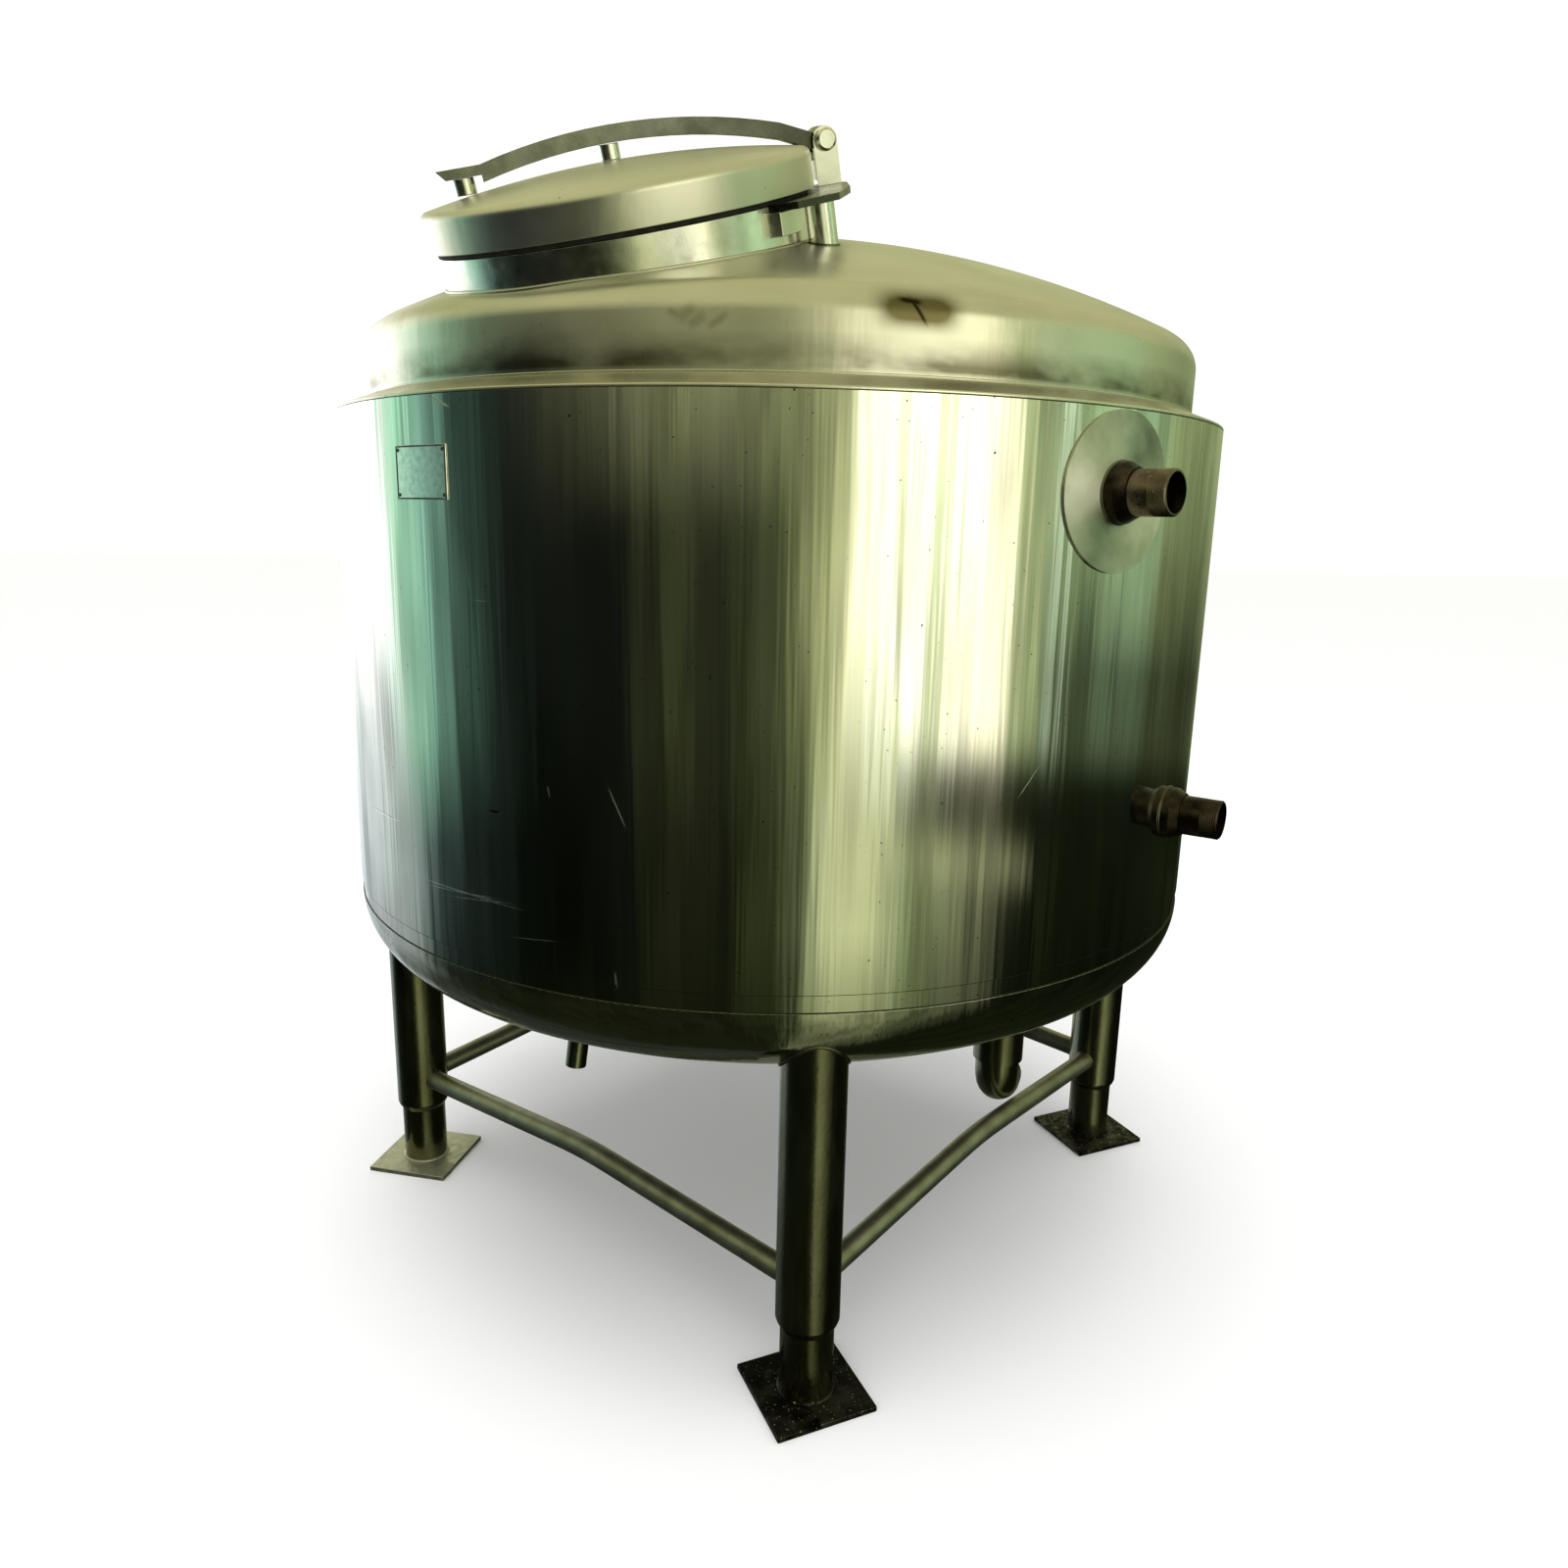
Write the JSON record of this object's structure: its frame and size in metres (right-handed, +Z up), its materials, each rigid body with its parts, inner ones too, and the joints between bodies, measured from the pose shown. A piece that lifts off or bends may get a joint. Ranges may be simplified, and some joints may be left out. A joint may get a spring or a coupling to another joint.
{
  "type": "jacketed process tank",
  "caption": "Upright jacketed stainless steel process tank with dished ends, a hinged round manway lid under a clamp bar, side nozzles and tied tubular legs on foot plates",
  "frame": {"origin": "on the tank's axis at floor level, at the centre of the four feet", "axes": "+Z up along the tank's axis; the four legs stand on -Y, +X, +Y and -X"},
  "size_m": [1.4712, 1.4712, 1.6904],
  "materials": {
    "brushed_stainless": "vertical brushed grain, scratched and stained",
    "dished_stainless": "satin, spun and polished, with stains",
    "tube_stainless": "satin drawn tube, dull and stained",
    "hinge_stainless": "satin with bright edges",
    "vessel_stainless": "smooth mill finish",
    "nozzle_stainless": "turned, heat tinted brown",
    "gasket_rubber": "matt black rubber",
    "plate_aluminium": "dull, worn"
  },
  "bodies": {
    "tank": {"vessel_shell": "vessel_stainless", "vessel_bottom": "vessel_stainless", "roof": "dished_stainless", "jacket_shell": "brushed_stainless", "shoulder_ring": "dished_stainless", "bottom_band": "brushed_stainless", "jacket_bottom": "brushed_stainless", "manway_neck": "brushed_stainless", "manway_gasket": "gasket_rubber", "hinge_post": "hinge_stainless", "hinge_pin": "hinge_stainless", "hinge_plate": "hinge_stainless", "hinge_bracket": "hinge_stainless", "hinge_stand": "hinge_stainless", "upper_nozzle": "nozzle_stainless", "upper_collar": "nozzle_stainless", "lower_nozzle": "nozzle_stainless", "lower_collar": "nozzle_stainless", "reinforcing_pad": "brushed_stainless", "nameplate": "plate_aluminium", "outlet_pipe": "tube_stainless", "outlet_elbow": "tube_stainless", "drain_stub": "tube_stainless", "front_leg": "tube_stainless", "front_foot_tube": "tube_stainless", "front_foot_plate": "tube_stainless", "right_leg": "tube_stainless", "right_foot_tube": "tube_stainless", "right_foot_plate": "tube_stainless", "back_leg": "tube_stainless", "back_foot_tube": "tube_stainless", "back_foot_plate": "tube_stainless", "left_leg": "tube_stainless", "left_foot_tube": "tube_stainless", "left_foot_plate": "tube_stainless", "front_right_tie": "tube_stainless", "right_back_tie": "tube_stainless", "back_left_tie": "tube_stainless", "left_front_tie": "tube_stainless"},
    "lid": {"manway_lid": "dished_stainless", "lid_boss": "hinge_stainless", "clamp_bar": "hinge_stainless", "clamp_post": "hinge_stainless"}
  },
  "joints": [
    {"name": "lid_hinge", "type": "hinge", "parent": "tank", "child": "lid", "pos_m": [0.01668, -0.33718, 1.66948], "axis": [-0.1498, 0.9548, 0.2566], "range_deg": [0, 105]}
  ]
}
